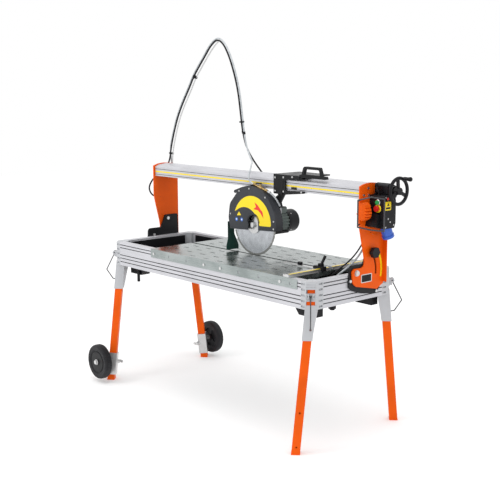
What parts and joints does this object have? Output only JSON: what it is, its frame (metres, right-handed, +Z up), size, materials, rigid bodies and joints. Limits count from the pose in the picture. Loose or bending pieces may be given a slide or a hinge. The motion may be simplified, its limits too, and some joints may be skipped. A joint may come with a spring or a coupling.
{
  "type": "tile cutter",
  "caption": "Bridge wet saw for tiles on a folding stand: a tilting beam carries a guarded blade over a slotted steel table and a water tank.",
  "frame": {"origin": "on the floor under the middle of the machine, cords left out", "axes": "+X along the cutting line to the control side, -Y towards the operator, +Z up"},
  "size_m": [2.029, 0.971, 2.1123],
  "materials": {
    "anodised": "satin",
    "cast_white": "satin",
    "orange_paint": "satin",
    "black_plastic": "matte",
    "table_steel": "brushed",
    "plated_steel": "plated",
    "dark_steel": "blackened",
    "fence_aluminium": "satin",
    "black_paint": "satin",
    "guard_grey": "satin",
    "motor_green": "satin",
    "flap_rubber": "matte",
    "blade_steel": "ground",
    "brass": "satin",
    "green_button": "gloss",
    "red_button": "gloss",
    "blue_inlet": "gloss",
    "cable_rubber": "matte",
    "clear_hose": "satin",
    "tyre": "matte",
    "belt": "matte"
  },
  "bodies": {
    "frame": {"frame_rails": "anodised", "corner_sockets": "cast_white", "water_tank": "black_plastic", "tank_fittings": "black_plastic", "table_plates": "table_steel", "end_fence": "fence_aluminium", "tilt_brackets": "black_paint", "fasteners": "plated_steel", "water_pump": "black_plastic", "pump_hose": "clear_hose", "pump_cable": "cable_rubber"},
    "bridge": {"column_left": "orange_paint", "column_right": "orange_paint", "beam": "anodised", "drive_belt": "belt", "column_bolts": "plated_steel", "control_box": "black_plastic", "power_inlet": "blue_inlet", "wire_guard": "dark_steel", "laser_unit": "orange_paint", "drive_housing": "black_plastic", "whip_rod": "plated_steel", "whip_cable": "cable_rubber", "whip_hose": "clear_hose"},
    "start_button": {"start_button": "green_button"},
    "stop_button": {"stop_button": "red_button"},
    "switch_lever": {"switch_lever": "black_plastic"},
    "handwheel": {"handwheel": "black_plastic"},
    "crank_grip": {"crank_grip": "black_plastic"},
    "clamp_knob_left": {"clamp_knob_left": "black_plastic"},
    "clamp_knob_right": {"clamp_knob_right": "black_plastic"},
    "carriage": {"carriage": "black_paint", "glide_pads": "black_plastic"},
    "head": {"blade_guard": "guard_grey", "motor_body": "motor_green", "motor_mount": "black_paint", "splash_flap": "flap_rubber", "water_tap": "brass", "head_hose": "clear_hose"},
    "tap_lever": {"tap_lever": "black_plastic"},
    "blade": {"blade": "blade_steel", "blade_clamp": "plated_steel"},
    "fence_stop": {"fence_stop": "black_plastic"},
    "fence_lever": {"fence_lever": "black_plastic"},
    "guide_knob": {"guide_knob": "black_plastic"},
    "leg_fr": {"leg_fr": "orange_paint"},
    "wire_lock_fr": {"wire_lock_fr": "dark_steel"},
    "leg_rr": {"leg_rr": "orange_paint"},
    "wire_lock_rr": {"wire_lock_rr": "dark_steel"},
    "leg_fl": {"leg_fl": "orange_paint", "wheel_bracket_fl": "fence_aluminium"},
    "wire_lock_fl": {"wire_lock_fl": "dark_steel"},
    "leg_rl": {"leg_rl": "orange_paint", "wheel_bracket_rl": "fence_aluminium"},
    "wire_lock_rl": {"wire_lock_rl": "dark_steel"},
    "wheel_fl": {"wheel_fl": "tyre"},
    "wing_screw_fl": {"wing_screw_fl": "plated_steel"},
    "wheel_rl": {"wheel_rl": "tyre"},
    "wing_screw_rl": {"wing_screw_rl": "plated_steel"}
  },
  "joints": [
    {"name": "bridge_tilt", "type": "hinge", "parent": "frame", "child": "bridge", "pos_m": [-0.0695, 0.0085, 0.883], "axis": [1, 0, 0], "range_deg": [0, 45], "deforming": ["pump_hose", "pump_cable", "splash_flap"]},
    {"name": "carriage_slide", "type": "slide", "parent": "bridge", "child": "carriage", "axis": [1, 0, 0], "range_m": [-0.68, 0.2], "deforming": ["whip_cable", "whip_hose"]},
    {"name": "head_lift", "type": "hinge", "parent": "carriage", "child": "head", "pos_m": [0.2475, 0.0085, 1.248], "axis": [0, 1, 0], "range_deg": [0, 20], "deforming": ["whip_cable", "whip_hose"]},
    {"name": "blade_spin", "type": "hinge", "parent": "head", "child": "blade", "pos_m": [0.0385, 0.0085, 1.051], "axis": [0, 1, 0], "continuous": true},
    {"name": "tap_turn", "type": "hinge", "parent": "head", "child": "tap_lever", "pos_m": [0.09628, 0.0005, 1.288], "axis": [0, 0, 1], "range_deg": [0, 90]},
    {"name": "handwheel_turn", "type": "hinge", "parent": "bridge", "child": "handwheel", "pos_m": [0.9505, 0.1685, 1.302], "axis": [1, 0, 0], "range_deg": [-1560, 460]},
    {"name": "grip_spin", "type": "hinge", "parent": "handwheel", "child": "crank_grip", "pos_m": [0.9805, 0.1889, 1.36477], "axis": [1, 0, 0], "continuous": true},
    {"name": "start_press", "type": "slide", "parent": "bridge", "child": "start_button", "axis": [0, 1, 0], "range_m": [0, 0.004], "stiffness_N_per_m": 250},
    {"name": "stop_press", "type": "slide", "parent": "bridge", "child": "stop_button", "axis": [0, 1, 0], "range_m": [0, 0.004], "stiffness_N_per_m": 250},
    {"name": "switch_rock", "type": "hinge", "parent": "bridge", "child": "switch_lever", "pos_m": [0.8605, 0.1115, 1.3], "axis": [1, 0, 0], "range_deg": [-25, 25]},
    {"name": "stop_slide", "type": "slide", "parent": "frame", "child": "fence_stop", "axis": [0, 1, 0], "range_m": [-0.2, 0.03]},
    {"name": "stop_clamp", "type": "hinge", "parent": "fence_stop", "child": "fence_lever", "pos_m": [0.6305, -0.0585, 0.91], "axis": [1, 0, 0], "range_deg": [0, 60]},
    {"name": "guide_clamp", "type": "hinge", "parent": "frame", "child": "guide_knob", "pos_m": [0.4555, -0.0385, 0.89], "axis": [0, 0, 1], "range_deg": [0, 180]},
    {"name": "clamp_left_turn", "type": "hinge", "parent": "frame", "child": "clamp_knob_left", "pos_m": [-0.9795, 0.1202, 0.9801], "axis": [1, 0, 0], "range_deg": [0, 180]},
    {"name": "clamp_right_turn", "type": "hinge", "parent": "frame", "child": "clamp_knob_right", "pos_m": [0.8405, 0.1202, 0.9801], "axis": [1, 0, 0], "range_deg": [0, 180]},
    {"name": "leg_fr_slide", "type": "slide", "parent": "frame", "child": "leg_fr", "axis": [0, -0.1315, -0.9913], "range_m": [0, 0.25]},
    {"name": "wire_fr_swing", "type": "hinge", "parent": "frame", "child": "wire_lock_fr", "pos_m": [0.79623, -0.29873, 0.803], "axis": [-0.7071, -0.7071, 0], "range_deg": [0, 60]},
    {"name": "leg_rr_slide", "type": "slide", "parent": "frame", "child": "leg_rr", "axis": [0, 0.1315, -0.9913], "range_m": [0, 0.25]},
    {"name": "wire_rr_swing", "type": "hinge", "parent": "frame", "child": "wire_lock_rr", "pos_m": [0.79623, 0.31573, 0.803], "axis": [0.7071, -0.7071, 0], "range_deg": [0, 60]},
    {"name": "leg_fl_slide", "type": "slide", "parent": "frame", "child": "leg_fl", "axis": [0, -0.1315, -0.9913], "range_m": [0, 0.25]},
    {"name": "wire_fl_swing", "type": "hinge", "parent": "frame", "child": "wire_lock_fl", "pos_m": [-0.93523, -0.29873, 0.803], "axis": [-0.7071, 0.7071, 0], "range_deg": [0, 60]},
    {"name": "leg_rl_slide", "type": "slide", "parent": "frame", "child": "leg_rl", "axis": [0, 0.1315, -0.9913], "range_m": [0, 0.25]},
    {"name": "wire_rl_swing", "type": "hinge", "parent": "frame", "child": "wire_lock_rl", "pos_m": [-0.93523, 0.31573, 0.803], "axis": [0.7071, 0.7071, 0], "range_deg": [0, 60]},
    {"name": "wheel_fl_spin", "type": "hinge", "parent": "leg_fl", "child": "wheel_fl", "pos_m": [-0.9065, -0.4495, 0.13], "axis": [0, 1, 0], "continuous": true},
    {"name": "wing_fl_turn", "type": "hinge", "parent": "leg_fl", "child": "wing_screw_fl", "pos_m": [-0.9065, -0.3065, 0.103], "axis": [0, 1, 0], "range_deg": [0, 180]},
    {"name": "wheel_rl_spin", "type": "hinge", "parent": "leg_rl", "child": "wheel_rl", "pos_m": [-0.9065, 0.4495, 0.13], "axis": [0, 1, 0], "continuous": true},
    {"name": "wing_rl_turn", "type": "hinge", "parent": "leg_rl", "child": "wing_screw_rl", "pos_m": [-0.9065, 0.3235, 0.103], "axis": [0, 1, 0], "range_deg": [0, 180]}
  ],
  "couplings": [
    {"joint": "handwheel_turn", "follows": "carriage_slide", "rad_per_m": 40}
  ]
}
